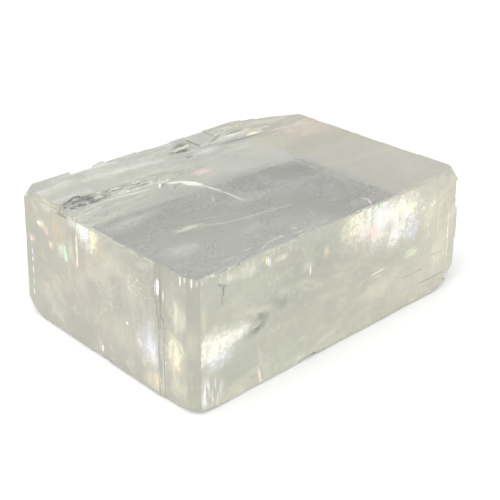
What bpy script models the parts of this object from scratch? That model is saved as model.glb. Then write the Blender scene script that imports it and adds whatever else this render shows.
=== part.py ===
"""Iceland spar: one clear calcite cleavage block, lying on its base.

Calcite splits along three planes only, so every face, ledge and step of the block runs along the crystal's
own slanted axes: U along the long edge, V along the short edge and W up the leaning upright edge.
A place in the crystal is written as (u, v, w) in millimetres from the bottom corner nearest the viewer.
The finished block is moved so that its origin is under the middle of its bounding box. Units are metres.
"""

import math
import random

import bmesh
import bpy
import numpy as np
from mathutils import Matrix, Vector

MM = 0.001

# Driving dimensions, in millimetres.
LONG_EDGE = 75.2
SHORT_EDGE = 54.8
UPRIGHT_EDGE = 28.2
BLUNT_ANGLE = math.radians(101.92)  # between any two edges at the rhomb's blunt corner
WORN_EDGE = 0.32  # width of the rub along the twelve long edges
PLATE_RISE = 1.0  # the raised plate at the back of the top face
STEP_SHARE = 0.32  # how much of that plate's leaning front one of its three steps takes
PLATE_RUN = 0.45  # how far the front of a smaller plate leans back
PLATE_ROOT = 2.0  # how deep a plate's own solid reaches into the block
FRONT_SPACING = 1.1  # between the corners of a broken front
FRONT_JITTER = 0.2
LEAN_SPREAD = (0.6, 1.4)  # the lean at each corner, as a share of the lean that the front gives
CORNER_FLAT = (1.75, 3.0)  # the flat along the front upright edge: its reach along U and V
STRIP_WIDTH = 9.6  # the strip of the left end face between the cleavage step and the front edge
BACK_CHIP = (13.5, 7.3)  # the corner broken off the back of the top: its reach along U and V
OVERRUN = 4.0  # how far a cutter runs past the faces that it opens

# Small damage along the edges, in millimetres: stepped nicks and slanted chips.
PER_EDGE = (4, 3, 2)  # how many of each along an edge of the U, V and W kind
NICK_LENGTH = (0.8, 3.2)
NICK_DEPTH = (0.08, 0.28)
CHIP_LENGTH = (2.2, 7.0)
CHIP_REACH = (0.25, 0.6)  # how far a chip reaches over each of its two faces
DAMAGE_SEED = 7
FRONT_SEED = 11

# The broken front of the raised plate, as (u, v): where it meets the top face, and its upper edge.
FRONT_FOOT = ((0.0, 40.7), (3.2, 39.5), (10.0, 39.6), (17.3, 38.7), (25.0, 37.4), (29.5, 38.6), (36.0, 39.4))
FRONT_CREST = (
    (0.0, 41.0),
    (3.3, 42.4),
    (4.8, 43.1),
    (6.3, 42.6),
    (7.2, 40.5),
    (10.9, 40.7),
    (18.6, 40.4),
    (22.7, 40.5),
    (25.6, 38.4),
    (29.5, 39.1),
    (36.0, 39.8),
)

# Unit vectors of the three edges. W makes the acute angle with both U and V.
U = Vector((1.0, 0.0, 0.0))
V = Vector((math.cos(BLUNT_ANGLE), math.sin(BLUNT_ANGLE), 0.0))
LEAN = -math.cos(BLUNT_ANGLE)
W_ACROSS = LEAN * (1.0 - math.cos(BLUNT_ANGLE)) / math.sin(BLUNT_ANGLE)
W = Vector((LEAN, W_ACROSS, math.sqrt(1.0 - LEAN**2 - W_ACROSS**2)))


def at(u, v, w):
    """The point (u, v, w) of the crystal, in metres."""
    return (U * u + V * v + W * w) * MM


def new_collection(name, parent, hidden=False):
    collection = bpy.data.collections.new(name)
    collection.hide_render = hidden
    parent.children.link(collection)
    return collection


def mesh_object(name, mesh, collection, axes, helper=True):
    """An object carried by the crystal's axes. A helper only shapes the crystal and isn't rendered."""
    obj = bpy.data.objects.new(name, mesh)
    obj.parent = axes
    if helper:
        obj.hide_render = True
        obj.display_type = "WIRE"
    collection.objects.link(obj)
    return obj


def mesh_from_cube(name, matrix):
    """A unit cube placed by the matrix, with its faces pointing out."""
    builder = bmesh.new()
    bmesh.ops.create_cube(builder, size=1.0, matrix=matrix)
    bmesh.ops.recalc_face_normals(builder, faces=builder.faces)
    mesh = bpy.data.meshes.new(name)
    builder.to_mesh(mesh)
    builder.free()
    return mesh


def cleavage_mesh(name, u_span, v_span, w_span):
    """A block bounded by cleavage planes, between two places along each axis."""
    low = at(u_span[0], v_span[0], w_span[0])
    high = at(u_span[1], v_span[1], w_span[1])
    edges = [
        axis * (span[1] - span[0]) * MM
        for axis, span in zip((U, V, W), (u_span, v_span, w_span))
    ]
    matrix = Matrix(edges).transposed().to_4x4()
    matrix.translation = (low + high) / 2
    return mesh_from_cube(name, matrix)


def break_mesh(name, corners, size):
    """A cube on the outer side of a broken facet that runs through three points of the crystal."""
    first, second, third = (at(*corner) for corner in corners)
    middle = (first + second + third) / 3
    outward = (second - first).cross(third - first).normalized()
    block_middle = at(LONG_EDGE / 2, SHORT_EDGE / 2, UPRIGHT_EDGE / 2)
    if outward.dot(middle - block_middle) < 0:
        outward.negate()
    along = (second - first).normalized()
    side = size * MM
    matrix = Matrix([along * side, outward.cross(along) * side, outward * side]).transposed().to_4x4()
    matrix.translation = middle + outward * side / 2
    return mesh_from_cube(name, matrix)


def stepped_front(share):
    """One step of the raised plate's front: at u, where along V it starts and where it reaches its edge."""

    def front(u, u_span):
        foot = np.interp(u, *zip(*FRONT_FOOT))
        crest = np.interp(u, *zip(*FRONT_CREST))
        return foot + share * (crest - foot), foot + (share + STEP_SHARE) * (crest - foot)

    return front


def straight_front(start, end):
    """A front that runs straight between two places along V and leans back by PLATE_RUN."""

    def front(u, u_span):
        foot = np.interp(u, u_span, (start, end))
        return foot, foot + PLATE_RUN

    return front


def broken_plates():
    """The plates on the top face, each as a name, its span along U, where it ends along U at the back,
    its back along V, its rise and its front.

    No two plates share a plane: each stops a little further in from the block's edges than the one before it.
    """
    back = SHORT_EDGE
    rise = PLATE_RISE
    return [
        ("back_plate_upper", (0.35, 24.4), 20.5, back - 0.35, rise, stepped_front(0.68)),
        ("back_plate_middle", (0.45, 27.5), 29.5, back - 0.45, 0.65 * rise, stepped_front(0.34)),
        ("back_plate_lower", (0.55, 35.5), 36.5, back - 0.55, 0.35 * rise, stepped_front(0.0)),
        ("back_plate_tongue", (19.0, 41.5), 43.5, back - 0.65, 0.5 * rise, straight_front(47.6, 49.6)),
        ("far_plate_lower", (43.2, 63.6), 64.2, back - 0.4, 0.28, straight_front(47.6, 46.5)),
        ("far_plate_upper", (49.2, 60.0), 60.8, back - 0.5, 0.52, straight_front(49.8, 51.8)),
    ]


def broken_plate_mesh(name, u_span, rear_end, back, rise, front, draw):
    """A plate on the top face whose front is a leaning, jagged break.

    Three outlines are joined: one inside the block, one where the break meets the top face, and the plate's
    own upper outline.
    """
    top = UPRIGHT_EDGE
    levels = (top - PLATE_ROOT - rise, top - 0.04 * rise, top + rise)
    corners = round((u_span[1] - u_span[0]) / FRONT_SPACING)
    feet = []
    crests = []
    for i in range(corners + 1):
        u = u_span[0] + (u_span[1] - u_span[0]) * i / corners
        if 0 < i < corners:
            u += draw.uniform(-FRONT_JITTER, FRONT_JITTER)
        foot, crest = front(u, u_span)
        shift = draw.uniform(-FRONT_JITTER, FRONT_JITTER)
        lean = (crest - foot) * draw.uniform(*LEAN_SPREAD)
        feet.append((u, foot + shift))
        crests.append((u, foot + shift + lean))
    rear = [(rear_end, back), (u_span[0], back)]
    builder = bmesh.new()
    rings = [
        [builder.verts.new(at(u, v, level)) for u, v in outline + rear]
        for outline, level in zip((feet, feet, crests), levels)
    ]
    builder.faces.new(rings[0])
    builder.faces.new(rings[-1])
    count = len(rings[0])
    for lower, upper in zip(rings, rings[1:]):
        for i in range(count):
            j = (i + 1) % count
            builder.faces.new((lower[i], lower[j], upper[j], upper[i]))
    bmesh.ops.recalc_face_normals(builder, faces=builder.faces)
    bmesh.ops.triangulate(builder, faces=[face for face in builder.faces if len(face.verts) == 4])
    mesh = bpy.data.meshes.new(name)
    builder.to_mesh(mesh)
    builder.free()
    return mesh


def raised_ledges():
    """Thin cleavage plates that stand on the hidden sides, each as a name and its spans along U, V and W."""
    top = UPRIGHT_EDGE
    back = SHORT_EDGE
    right = LONG_EDGE
    return [
        ("right_end_plate", (right - 2.0, right + 0.7), (0.33, 11.5), (11.0, top - 0.35)),
        ("right_end_foot_plate", (right - 2.1, right + 0.4), (0.42, 8.5), (3.6, 16.0)),
        ("right_end_wide_plate", (right - 2.2, right + 0.3), (5.0, 26.5), (14.5, top - 0.45)),
        ("right_end_thin_plate", (right - 2.3, right + 0.15), (20.0, 46.5), (5.0, top - 0.55)),
        ("back_side_plate", (6.0, 41.0), (back - 2.0, back + 0.4), (4.5, top - 1.5)),
        ("back_side_thin_plate", (22.0, 57.0), (back - 2.1, back + 0.22), (9.5, top - 4.0)),
    ]


def cut_ledges():
    """Slabs split off the faces, each as a name and its spans along U, V and W."""
    top = UPRIGHT_EDGE
    back = SHORT_EDGE
    right = LONG_EDGE
    over = OVERRUN
    return [
        # The vertical step on the left end face: a narrow ledge beside the set-back strip.
        ("strip_ledge_high", (-over, 0.22), (-over, STRIP_WIDTH + 0.9), (17.2, top + over)),
        ("strip_ledge_low", (-over, 0.25), (-over, STRIP_WIDTH + 0.5), (-over, 17.5)),
        ("strip_high", (-over, 0.42), (-over, STRIP_WIDTH), (17.0, top + over)),
        ("strip_low", (-over, 0.45), (-over, STRIP_WIDTH - 0.7), (-over, 17.3)),
        # The short broken ledges where the raised plate ends at the left.
        ("left_top_ledge", (-over, 0.7), (38.4, 41.8), (top - 0.9, top + over)),
        # The upright steps near the right end of the front face.
        ("front_step_far", (58.3, right + over), (-over, 0.10), (7.5, top + over)),
        ("front_step_mid", (64.0, right + over), (-over, 0.17), (4.0, top + over)),
        ("front_step_near", (67.5, right + over), (-over, 0.24), (9.5, top + over)),
        ("front_step_last", (71.5, right + over), (-over, 0.32), (2.0, top + over)),
        # The tooth and the notches along the front bottom edge.
        ("front_foot_notch", (26.8, 31.6), (-over, 0.9), (-over, 0.85)),
        ("front_foot_notch_small", (31.6, 34.2), (-over, 0.5), (-over, 0.45)),
        ("front_foot_ledge", (5.5, 8.6), (-over, 0.4), (-over, 0.25)),
        ("front_foot_far_ledge", (47.5, 53.0), (-over, 0.5), (-over, 0.35)),
        # Ledges on the two hidden faces.
        ("back_side_shelf", (41.0, right + over), (back - 0.55, back + over), (-over, 11.0)),
        ("back_side_low_shelf", (-over, 19.0), (back - 0.4, back + over), (-over, 6.0)),
        ("right_end_shelf", (right - 0.6, right + over), (30.0, back + over), (-over, 8.5)),
        ("right_end_low_shelf", (right - 0.35, right + over), (9.0, 30.0), (-over, 4.5)),
    ]


def breaks():
    """Corners and edges broken off: a name, three points on the facet and the cutter's size."""
    top = UPRIGHT_EDGE
    back = SHORT_EDGE
    right = LONG_EDGE
    flat_u, flat_v = CORNER_FLAT
    chip_u = right - BACK_CHIP[0]
    chip_v = back - BACK_CHIP[1]
    plate = top + PLATE_RISE
    return [
        ("front_upright_flat", ((flat_u, 0, top), (0, flat_v, top), (flat_u, 0, 0)), 60.0),
        ("front_foot_corner", ((0, 7.6, 0), (3.6, 0, 0), (0.3, 1.0, 1.35)), 14.0),
        ("front_foot_edge", ((0, 9.4, 0), (0, 3.0, 0.8), (0.9, 3.0, 0)), 9.0),
        ("front_foot_splinter", ((7.5, 0, 0), (2.2, 0, 0.8), (2.4, 1.4, 0)), 9.0),
        ("back_top_corner", ((right, chip_v, top), (chip_u, back, top), (right, back, 12.0)), 30.0),
        ("back_top_splinter", ((56.7, back, top), (64.7, back - 2.4, top), (60.0, back, top - 4.5)), 16.0),
        ("right_foot_corner", ((70.6, 0, 0), (right, 0, 4.6), (right, 12.0, 0)), 20.0),
        ("right_foot_corner_low", ((67.5, 0, 0), (73.4, 0, 1.7), (73.4, 8.0, 0)), 16.0),
        ("right_top_edge", ((49.0, 0, top), (right, 1.3, top), (right, 0, top - 1.6)), 40.0),
        ("right_top_corner", ((right - 2.0, 0, top), (right, 2.4, top), (right, 0, top - 2.6)), 10.0),
        ("left_top_corner", ((0, back - 2.6, plate), (2.8, back, plate), (0, back, top - 2.2)), 12.0),
        ("left_side_nick", ((0, back - 0.9, 17.5), (1.0, back, 20.0), (0, back - 0.7, 23.5)), 7.0),
        ("left_upright_edge", ((0, back - 1.0, top), (1.1, back, top), (0, back - 0.5, 5.0)), 40.0),
        ("left_foot_corner", ((0, back - 3.4, 0), (4.0, back, 0), (0, back, 4.2)), 16.0),
        ("left_foot_corner_low", ((0, back - 6.0, 0), (5.0, back, 0), (0, back - 1.7, 1.9)), 16.0),
        ("back_foot_corner", ((right, back - 6.5, 0), (right - 8.0, back, 0), (right, back, 4.0)), 20.0),
        # The long break along the hidden foot of the back, widest towards the right.
        ("back_foot_break", ((16.0, back, 0), (72.0, back - 5.2, 0), (60.0, back, 6.5)), 84.0),
    ]


def block_edges():
    """The twelve edges of the block, each as its own axis and the axis and end of the two faces beside it."""
    edges = []
    for along in range(3):
        first, second = (axis for axis in range(3) if axis != along)
        for ends in ((0, 0), (0, 1), (1, 0), (1, 1)):
            edges.append((along, ((first, ends[0]), (second, ends[1]))))
    return edges


def edge_nicks(draw):
    """Small stepped notches scattered along the edges, as names and spans."""
    sizes = (LONG_EDGE, SHORT_EDGE, UPRIGHT_EDGE)
    nicks = []
    for along, faces in block_edges():
        for _ in range(PER_EDGE[along]):
            spans = [None, None, None]
            length = draw.uniform(*NICK_LENGTH)
            start = draw.uniform(2.0, sizes[along] - length - 2.0)
            spans[along] = (start, start + length)
            for axis, end in faces:
                depth = draw.uniform(*NICK_DEPTH) + WORN_EDGE / 2
                face = sizes[axis] * end
                spans[axis] = (face - depth, face + OVERRUN) if end else (-OVERRUN, depth)
            nicks.append((f"nick_{len(nicks):02d}", *spans))
    return nicks


def edge_chips(draw):
    """Slanted chips scattered along the edges: names, three points on the facet and the cutter's size."""
    sizes = (LONG_EDGE, SHORT_EDGE, UPRIGHT_EDGE)
    chips = []
    for along, ((first, first_end), (second, second_end)) in block_edges():
        for _ in range(PER_EDGE[along]):
            length = draw.uniform(*CHIP_LENGTH)
            start = draw.uniform(2.5, sizes[along] - length - 2.5)
            corners = []
            for share, axis in ((0.0, first), (1.0, first), (0.5, second)):
                corner = [0.0, 0.0, 0.0]
                corner[along] = start + share * length
                corner[first] = sizes[first] * first_end
                corner[second] = sizes[second] * second_end
                inward = -1 if corner[axis] else 1
                corner[axis] += inward * draw.uniform(*CHIP_REACH)
                corners.append(tuple(corner))
            chips.append((f"chip_{len(chips):02d}", corners, length))
    return chips


def crystal_material():
    """Clear calcite with a faint warm grey-green tint."""
    material = bpy.data.materials.new("clear_calcite")
    material.use_nodes = True
    shader = material.node_tree.nodes["Principled BSDF"]
    shader.inputs["Base Color"].default_value = (0.86, 0.87, 0.80, 1.0)
    shader.inputs["Metallic"].default_value = 0.0
    shader.inputs["Roughness"].default_value = 0.04
    shader.inputs["IOR"].default_value = 1.6
    shader.inputs["Transmission Weight"].default_value = 1.0
    return material


def add_booleans(crystal, operation, helpers):
    """One Boolean for each helper of the collection, in the order in which they were made."""
    for helper in helpers.objects:
        modifier = crystal.modifiers.new(helper.name, "BOOLEAN")
        modifier.operation = operation
        modifier.solver = "EXACT"
        modifier.object = helper


def make_crystal(collection, axes):
    """The whole rhomb with rubbed edges, before anything is added to it or split off."""
    spans = (0, LONG_EDGE), (0, SHORT_EDGE), (0, UPRIGHT_EDGE)
    mesh = cleavage_mesh("spar_crystal", *spans)
    crystal = mesh_object("spar_crystal", mesh, collection, axes, helper=False)
    crystal.data.materials.append(crystal_material())
    rub = crystal.modifiers.new("worn_edges", "BEVEL")
    rub.width = WORN_EDGE * MM
    rub.segments = 2
    return crystal


def centre_on_base(crystal, axes):
    """Moves the axes, and all that they carry, so that the origin is under the middle of the block."""
    bpy.context.view_layer.update()
    shaped = crystal.evaluated_get(bpy.context.evaluated_depsgraph_get())
    corners = [shaped.matrix_world @ Vector(corner) for corner in shaped.bound_box]
    low = Vector(min(corner[axis] for corner in corners) for axis in range(3))
    high = Vector(max(corner[axis] for corner in corners) for axis in range(3))
    axes.location = -Vector(((low.x + high.x) / 2, (low.y + high.y) / 2, low.z))
    bpy.context.view_layer.update()


def main():
    for obj in list(bpy.data.objects):
        bpy.data.objects.remove(obj, do_unlink=True)
    scene_root = bpy.context.scene.collection
    parts = new_collection("iceland_spar", scene_root)
    cutters = new_collection("cutters", scene_root, hidden=True)
    plates = new_collection("plates_added", cutters, hidden=True)
    chips = new_collection("chips_removed", cutters, hidden=True)
    axes = bpy.data.objects.new("crystal_axes", None)
    parts.objects.link(axes)

    crystal = make_crystal(parts, axes)
    front_draw = random.Random(FRONT_SEED)
    damage_draw = random.Random(DAMAGE_SEED)
    for name, *outline in broken_plates():
        mesh_object(name, broken_plate_mesh(name, *outline, front_draw), plates, axes)
    for name, *spans in raised_ledges():
        mesh_object(name, cleavage_mesh(name, *spans), plates, axes)
    for name, *spans in cut_ledges() + edge_nicks(damage_draw):
        mesh_object(name, cleavage_mesh(name, *spans), chips, axes)
    for name, corners, size in breaks() + edge_chips(damage_draw):
        mesh_object(name, break_mesh(name, corners, size), chips, axes)
    add_booleans(crystal, "UNION", plates)
    add_booleans(crystal, "DIFFERENCE", chips)
    centre_on_base(crystal, axes)


main()
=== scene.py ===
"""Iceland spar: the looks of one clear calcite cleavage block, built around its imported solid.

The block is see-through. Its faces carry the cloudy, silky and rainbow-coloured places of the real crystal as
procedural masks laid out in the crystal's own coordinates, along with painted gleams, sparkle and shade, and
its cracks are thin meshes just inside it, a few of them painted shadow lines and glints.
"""

import math
import random

import bmesh
import bpy
from mathutils import Matrix, Vector, noise


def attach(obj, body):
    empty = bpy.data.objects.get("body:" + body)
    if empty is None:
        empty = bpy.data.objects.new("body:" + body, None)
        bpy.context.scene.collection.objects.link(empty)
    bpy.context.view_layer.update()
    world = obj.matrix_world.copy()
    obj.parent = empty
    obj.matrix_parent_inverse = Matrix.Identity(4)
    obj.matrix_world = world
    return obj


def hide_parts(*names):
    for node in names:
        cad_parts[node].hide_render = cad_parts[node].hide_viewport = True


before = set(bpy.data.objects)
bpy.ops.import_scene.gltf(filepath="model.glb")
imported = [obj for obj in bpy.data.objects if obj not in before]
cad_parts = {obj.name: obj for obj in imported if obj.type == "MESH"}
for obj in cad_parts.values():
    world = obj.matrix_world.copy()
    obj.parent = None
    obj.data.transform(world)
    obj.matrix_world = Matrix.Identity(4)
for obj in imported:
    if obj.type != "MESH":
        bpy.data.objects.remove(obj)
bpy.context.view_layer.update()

MM = 0.001
FLOOR_GAP = 0.15 * MM
FLOOR_REACH = 3.0

# The crystal's own axes: U along the long edge, V along the short edge, W up the leaning upright edge.
BLUNT_ANGLE = math.radians(101.92)
U = Vector((1.0, 0.0, 0.0))
V = Vector((math.cos(BLUNT_ANGLE), math.sin(BLUNT_ANGLE), 0.0))
LEAN = -math.cos(BLUNT_ANGLE)
W_ACROSS = LEAN * (1.0 - math.cos(BLUNT_ANGLE)) / math.sin(BLUNT_ANGLE)
W = Vector((LEAN, W_ACROSS, math.sqrt(1.0 - LEAN**2 - W_ACROSS**2)))
TO_CRYSTAL = Matrix((U, V, W)).transposed().inverted()
FRONT_FOOT = Vector((-35.252, -30.447, 0.0)) * MM  # where (u, v, w) = (0, 0, 0) lies
UPRIGHT_EDGE = 28.2
LEFT_NORMAL = W.cross(V).normalized()
FRONT_NORMAL = U.cross(W).normalized()

# The photograph's camera, as a fit to the block's corners in the 500-pixel frame.
PHOTO_WIDTH = 500.0
FOCAL_PIXELS = 805.9
CORNER_PIXEL = (192.3, 284.0)  # the blunt top corner, nearest the camera
CORNER_DISTANCE = 153.1 * MM
VIEW_HEADING = math.radians(53.73)  # from +X, the way the camera looks
VIEW_DOWN = math.radians(34.08)
VIEW_ROLL = math.radians(-0.82)

CALCITE_IOR = 1.6
DEPTH_TINT = (0.85, 0.855, 0.72, 1.0)
DEPTH_TINT_DENSITY = 7.0

# How much of each face is haze, before any cloud or gleam.
TOP_HAZE, SIDE_HAZE, HIDDEN_HAZE, BASE_HAZE = 0.14, 0.48, 0.14, 0.24
BROKEN_HAZE, RISER_HAZE = 0.40, 0.72
# Painted shade on the top past the rim of the base, standing in for the far walls seen through it: at its
# back, at its right end and where the two meet.
BACK_WALL_SHADE, END_WALL_SHADE, CORNER_WALL_SHADE = 0.34, 0.46, 0.58

# The finishes of the block's faces, in the order of their material slots.
TOP, LEFT, FRONT, RIGHT_END, BACK, BASE, BROKEN, RISER, FLAT = range(9)
# The crystal axis that runs into each face.
INTO = {TOP: 2, LEFT: 0, FRONT: 1, RIGHT_END: 0, BACK: 1, BASE: 2, BROKEN: 2, RISER: 1, FLAT: 0}
ENDLESS = 1e4

# How the faces are told apart: by how nearly a normal agrees with a face's own, and by crystal place.
LEVEL_MATCH, SIDE_MATCH = 0.995, 0.998
FLAT_U, FLAT_V = 3.0, 3.2  # how far the front flat reaches from the blunt upright edge
STEP_FROM, STEP_TO = 36.0, 45.0  # the stretch of v that holds the step across the top

MERGE_GAP = 0.004 * MM
MERGE_ANGLE = math.radians(0.4)
EDGE_WEAR = 0.07 * MM
WORN_ANGLE = math.radians(20)
# Millimetres between the points of a crack, and the cells and ripple height of a fracture sheet.
CRACK_STEP = 0.5
SHEET_CELLS = (26, 18)
SHEET_RIPPLE = 0.7

# The studio: a white floor, a pale sky and one softbox overhead, in metres and watts.
FLOOR_WHITE = 0.93
HORIZON_LIGHT, OVERHEAD_LIGHT = 1.6, 0.7
SOFTBOX_PLACE = (-0.05, 0.12, 0.8)
SOFTBOX_SIZE, SOFTBOX_POWER = 0.5, 2.0


def at(u, v, w):
    """The point (u, v, w) of the crystal, in metres, where the CAD has it."""
    return FRONT_FOOT + (U * u + V * v + W * w) * MM


def crystal_place(point):
    """The (u, v, w) of a point given in metres."""
    return TO_CRYSTAL @ (point - FRONT_FOOT) / MM


def along_face(face, a, b, into):
    """Crystal coordinates from the two that run along a face and the one that runs into it."""
    place = [a, b]
    place.insert(INTO[face], into)
    return tuple(place)


class Net:
    """The nodes of one material. Each method adds a node and returns the socket that carries its result."""

    def __init__(self, name):
        self.material = bpy.data.materials.new(name)
        self.material.use_nodes = True
        self.nodes = self.material.node_tree.nodes
        self.links = self.material.node_tree.links
        self.shader = self.nodes["Principled BSDF"]
        self.output = self.nodes["Material Output"]

    def put(self, socket, value):
        if isinstance(value, bpy.types.NodeSocket):
            self.links.new(value, socket)
        else:
            socket.default_value = value

    def math(self, operation, first, second=0.0):
        node = self.nodes.new("ShaderNodeMath")
        node.operation = operation
        self.put(node.inputs[0], first)
        self.put(node.inputs[1], second)
        return node.outputs[0]

    def vector(self, operation, first, second):
        node = self.nodes.new("ShaderNodeVectorMath")
        node.operation = operation
        self.put(node.inputs[0], first)
        self.put(node.inputs[1], second)
        return node.outputs["Value" if operation in ("DOT_PRODUCT", "LENGTH") else "Vector"]

    def smooth(self, value, low, high, top=1.0):
        """A soft step: 0 at low, top at high."""
        node = self.nodes.new("ShaderNodeMapRange")
        node.interpolation_type = "SMOOTHSTEP"
        self.put(node.inputs["Value"], value)
        self.put(node.inputs["From Min"], low)
        self.put(node.inputs["From Max"], high)
        self.put(node.inputs["To Max"], top)
        return node.outputs["Result"]

    def noise(self, place, scale, detail=4.0, roughness=0.55, distortion=0.0, output="Fac"):
        """Cloud noise. The scale is in bumps per millimetre along U, V and W."""
        node = self.nodes.new("ShaderNodeTexNoise")
        self.put(node.inputs["Vector"], self.vector("MULTIPLY", place, scale))
        node.inputs["Scale"].default_value = 1.0
        node.inputs["Detail"].default_value = detail
        node.inputs["Roughness"].default_value = roughness
        node.inputs["Distortion"].default_value = distortion
        return node.outputs[output]

    def cells(self, place, scale, feature):
        node = self.nodes.new("ShaderNodeTexVoronoi")
        node.feature = feature
        self.put(node.inputs["Vector"], self.vector("MULTIPLY", place, scale))
        node.inputs["Scale"].default_value = 1.0
        return node.outputs["Distance"]

    def ramp(self, value, colours, low=0.3, high=0.7):
        """Colours spread evenly between two values of the input."""
        node = self.nodes.new("ShaderNodeValToRGB")
        self.put(node.inputs["Fac"], value)
        elements = node.color_ramp.elements
        for _ in range(len(colours) - 2):
            elements.new(0.5)
        for i, colour in enumerate(colours):
            elements[i].position = low + (high - low) * i / (len(colours) - 1)
            elements[i].color = (*colour, 1.0)
        return node.outputs["Color"]

    def mix(self, share, first, second):
        node = self.nodes.new("ShaderNodeMix")
        node.data_type = "RGBA"
        self.put(node.inputs["Factor"], share)
        # inputs 6 and 7 and output 2 are the ones that carry colours
        for socket, value in ((node.inputs[6], first), (node.inputs[7], second)):
            self.put(socket, (*value, 1.0) if isinstance(value, tuple) else value)
        return node.outputs[2]

    def bump(self, height, strength, distance):
        node = self.nodes.new("ShaderNodeBump")
        self.put(node.inputs["Height"], height)
        node.inputs["Strength"].default_value = strength
        node.inputs["Distance"].default_value = distance
        return node.outputs["Normal"]

    def place(self):
        """The crystal coordinates of the shaded point, in millimetres."""
        coords = self.nodes.new("ShaderNodeTexCoord")
        offset = self.vector("SUBTRACT", coords.outputs["Object"], FRONT_FOOT)
        joined = self.nodes.new("ShaderNodeCombineXYZ")
        for axis in range(3):
            along = self.vector("DOT_PRODUCT", offset, TO_CRYSTAL[axis] / MM)
            self.put(joined.inputs[axis], along)
        return joined.outputs[0]


class Bloom:
    """Cloudy places laid over a clear face: how much of the surface they cover, and their colour."""

    def __init__(self, net, face, haze, streaks=(0.3, 0.3, 0.3)):
        self.net = net
        self.face = face
        self.place = net.place()
        slow = net.noise(self.place, (0.16, 0.16, 0.16), 3.0, output="Color")
        self.wander = net.vector("SUBTRACT", slow, (0.5, 0.5, 0.5))
        self.loose = self.shifted(7.0)
        self.grain = net.math("SUBTRACT", net.noise(self.place, (0.9, 0.9, 0.9), 4.0, 0.65), 0.5)
        streaked = net.noise(self.place, streaks, 4.0, 0.6, 0.3)
        self.fibre = net.math("ADD", net.smooth(streaked, 0.38, 0.60, 0.5), 0.5)
        self.cover = net.math("ADD", haze, net.math("MULTIPLY", self.grain, 0.35 * haze))
        self.colour = PALE_GREY

    def shifted(self, reach):
        """The shaded place, moved about by slow noise."""
        net = self.net
        return net.vector("ADD", self.place, net.vector("MULTIPLY", self.wander, (reach,) * 3))

    def tint(self, scale, tones):
        """The haze's own colour, drifting among a few tones in large clouds and in small ones."""
        net = self.net
        large = net.ramp(net.noise(self.place, scale, 5.0, 0.6, 0.8), tones, 0.36, 0.64)
        fine = tuple(5.0 * step for step in scale)
        small = net.ramp(net.noise(self.place, fine, 5.0, 0.7, 0.5), tones, 0.36, 0.64)
        self.colour = net.mix(0.45, large, small)

    def add(self, mask, colour):
        """Lays a colour over what is there, as much of it as the mask says."""
        net = self.net
        clear = net.math("MULTIPLY", net.math("SUBTRACT", 1.0, self.cover), net.math("SUBTRACT", 1.0, mask))
        self.cover = net.math("SUBTRACT", 1.0, clear)
        self.colour = net.mix(net.math("DIVIDE", mask, self.cover), self.colour, colour)

    def distance(self, a, b, reach_a, reach_b, turn, wander):
        """How far the shaded point lies from a place on the face: 0 there and 1 at the rim of its reach."""
        net = self.net
        node = net.nodes.new("ShaderNodeMapping")
        node.vector_type = "TEXTURE"
        into = INTO[self.face]
        net.put(node.inputs["Vector"], self.shifted(wander) if wander else self.place)
        node.inputs["Location"].default_value = along_face(self.face, a, b, 0.0)
        node.inputs["Rotation"].default_value[into] = math.radians(-turn if into == 1 else turn)
        node.inputs["Scale"].default_value = along_face(self.face, reach_a, reach_b, ENDLESS)
        return net.vector("LENGTH", node.outputs[0], (0.0, 0.0, 0.0))

    def spot(self, a, b, reach_a, reach_b, strength, colour, turn=0.0):
        """A gleam or shade without an edge, broken up by the streaks and grain of the face."""
        net = self.net
        distance = self.distance(a, b, reach_a, reach_b, turn, 0.9 * min(reach_a, reach_b))
        ragged = net.math("ADD", distance, net.math("MULTIPLY", self.grain, 1.5))
        mask = net.smooth(ragged, 1.25, 0.1, strength)
        self.add(net.math("MULTIPLY", mask, self.fibre), colour)

    def mark(self, a, b, reach_a, reach_b, strength, colour, turn=0.0):
        """A small place with a clean rim."""
        net = self.net
        distance = self.distance(a, b, reach_a, reach_b, turn, 0.0)
        ragged = net.math("ADD", distance, net.math("MULTIPLY", self.grain, 0.5))
        self.add(net.smooth(ragged, 1.0, 0.6, strength), colour)

    def spots(self, *rows):
        """Soft places: a and b, reach along a and b, strength, colour and a turn from a towards b."""
        for row in rows:
            self.spot(*row)

    def marks(self, *rows):
        """Small places with clean rims, given as the soft ones are."""
        for row in rows:
            self.mark(*row)

    def streaks(self, *rows):
        """Long marks: a and b of one end, a and b of the other, width, strength and colour."""
        for a, b, end_a, end_b, width, strength, colour in rows:
            reach = 0.5 * math.hypot(end_a - a, end_b - b)
            turn = math.degrees(math.atan2(end_b - b, end_a - a))
            self.mark(0.5 * (a + end_a), 0.5 * (b + end_b), reach, 0.5 * width, strength, colour, turn)

    def clouds(self, scale, low, high, strength, colour, within=None, detail=5.0):
        """Silky streaks and clouds: noise stretched by its scale, kept within another mask."""
        net = self.net
        mask = net.smooth(net.noise(self.place, scale, detail, 0.6, 0.6), low, high, strength)
        if within is not None:
            mask = net.math("MULTIPLY", mask, within)
        self.add(mask, colour)

    def zone(self, a, b, reach_a, reach_b, turn=0.0):
        """A soft mask that colours nothing by itself."""
        return self.net.smooth(self.distance(a, b, reach_a, reach_b, turn, 5.0), 1.0, 0.3)

    def beyond(self, heading, start, reach):
        """A mask that rises past a line across the face, from start to start + reach along the heading."""
        along = self.net.vector("DOT_PRODUCT", self.shifted(3.0), heading)
        return self.net.smooth(along, start, start + reach)

    def specks(self, scale, size, strength, within, colour):
        """Tiny crushed points, white as painted sparkle."""
        net = self.net
        mask = net.smooth(net.cells(self.loose, scale, "F1"), size, size * 0.4, strength)
        self.add(net.math("MULTIPLY", mask, within), colour)

    def hairs(self, scale, width, strength, within, colour):
        """A net of hairline cracks."""
        net = self.net
        mask = net.smooth(net.cells(self.loose, scale, "DISTANCE_TO_EDGE"), width, width * 0.3, strength)
        self.add(net.math("MULTIPLY", mask, within), colour)

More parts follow.
